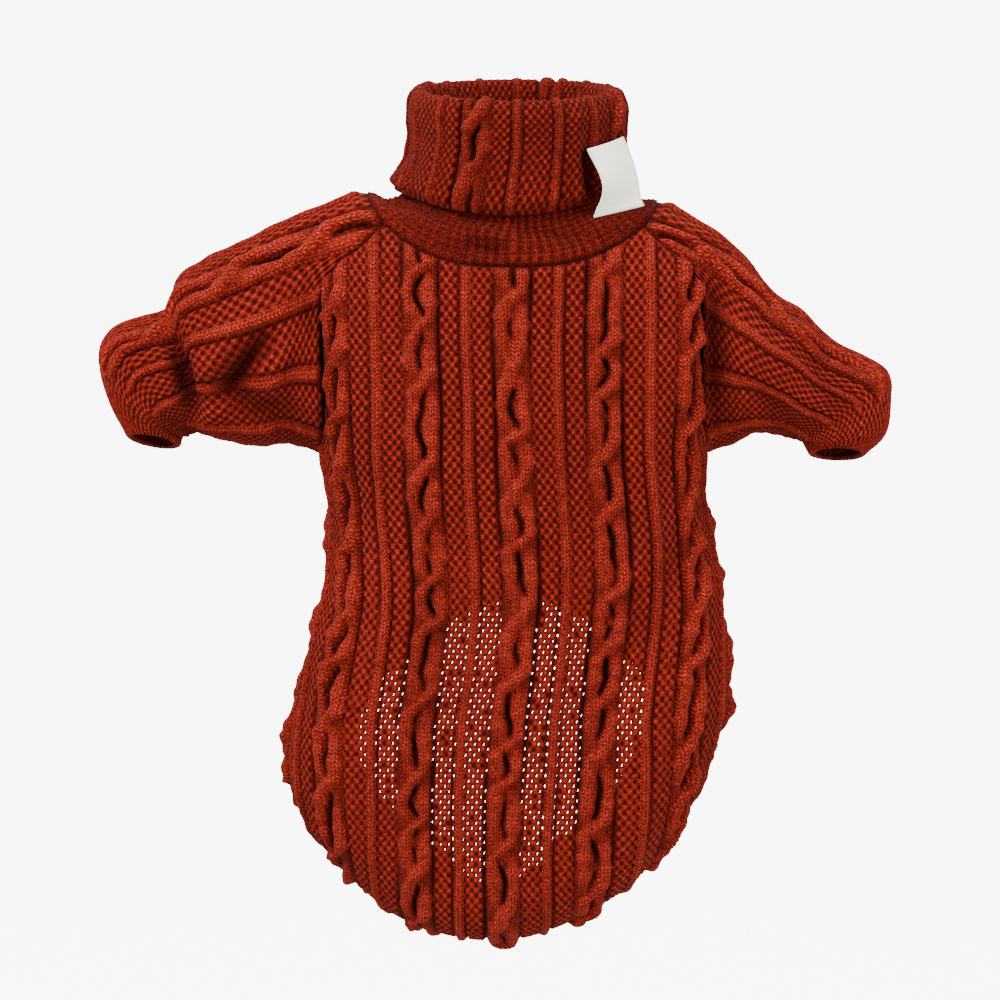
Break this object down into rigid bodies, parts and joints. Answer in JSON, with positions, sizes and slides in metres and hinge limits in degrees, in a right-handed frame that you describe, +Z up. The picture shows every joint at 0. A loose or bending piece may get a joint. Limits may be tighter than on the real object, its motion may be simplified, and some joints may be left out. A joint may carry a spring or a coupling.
{
  "type": "dog sweater",
  "caption": "Cable-knit dog sweater with a folded turtleneck, short raglan sleeves and a long rounded tail, filled out as worn.",
  "frame": {"origin": "middle of the neck opening, at the level of the neck seam on the back", "axes": "+Z up through the neck, -Y towards the side of the dog's back, +X to the right as that side is looked at"},
  "size_m": [0.3496, 0.0969, 0.3828],
  "materials": {
    "rust_knit": "matt, slightly fuzzy cable and mesh knit",
    "cream_tape": "matt fine woven tape"
  },
  "bodies": {
    "root": {"back_panel": "rust_knit", "belly_panel": "rust_knit", "sleeve_left": "rust_knit", "sleeve_right": "rust_knit", "collar": "rust_knit", "label": "cream_tape"}
  },
  "joints": []
}
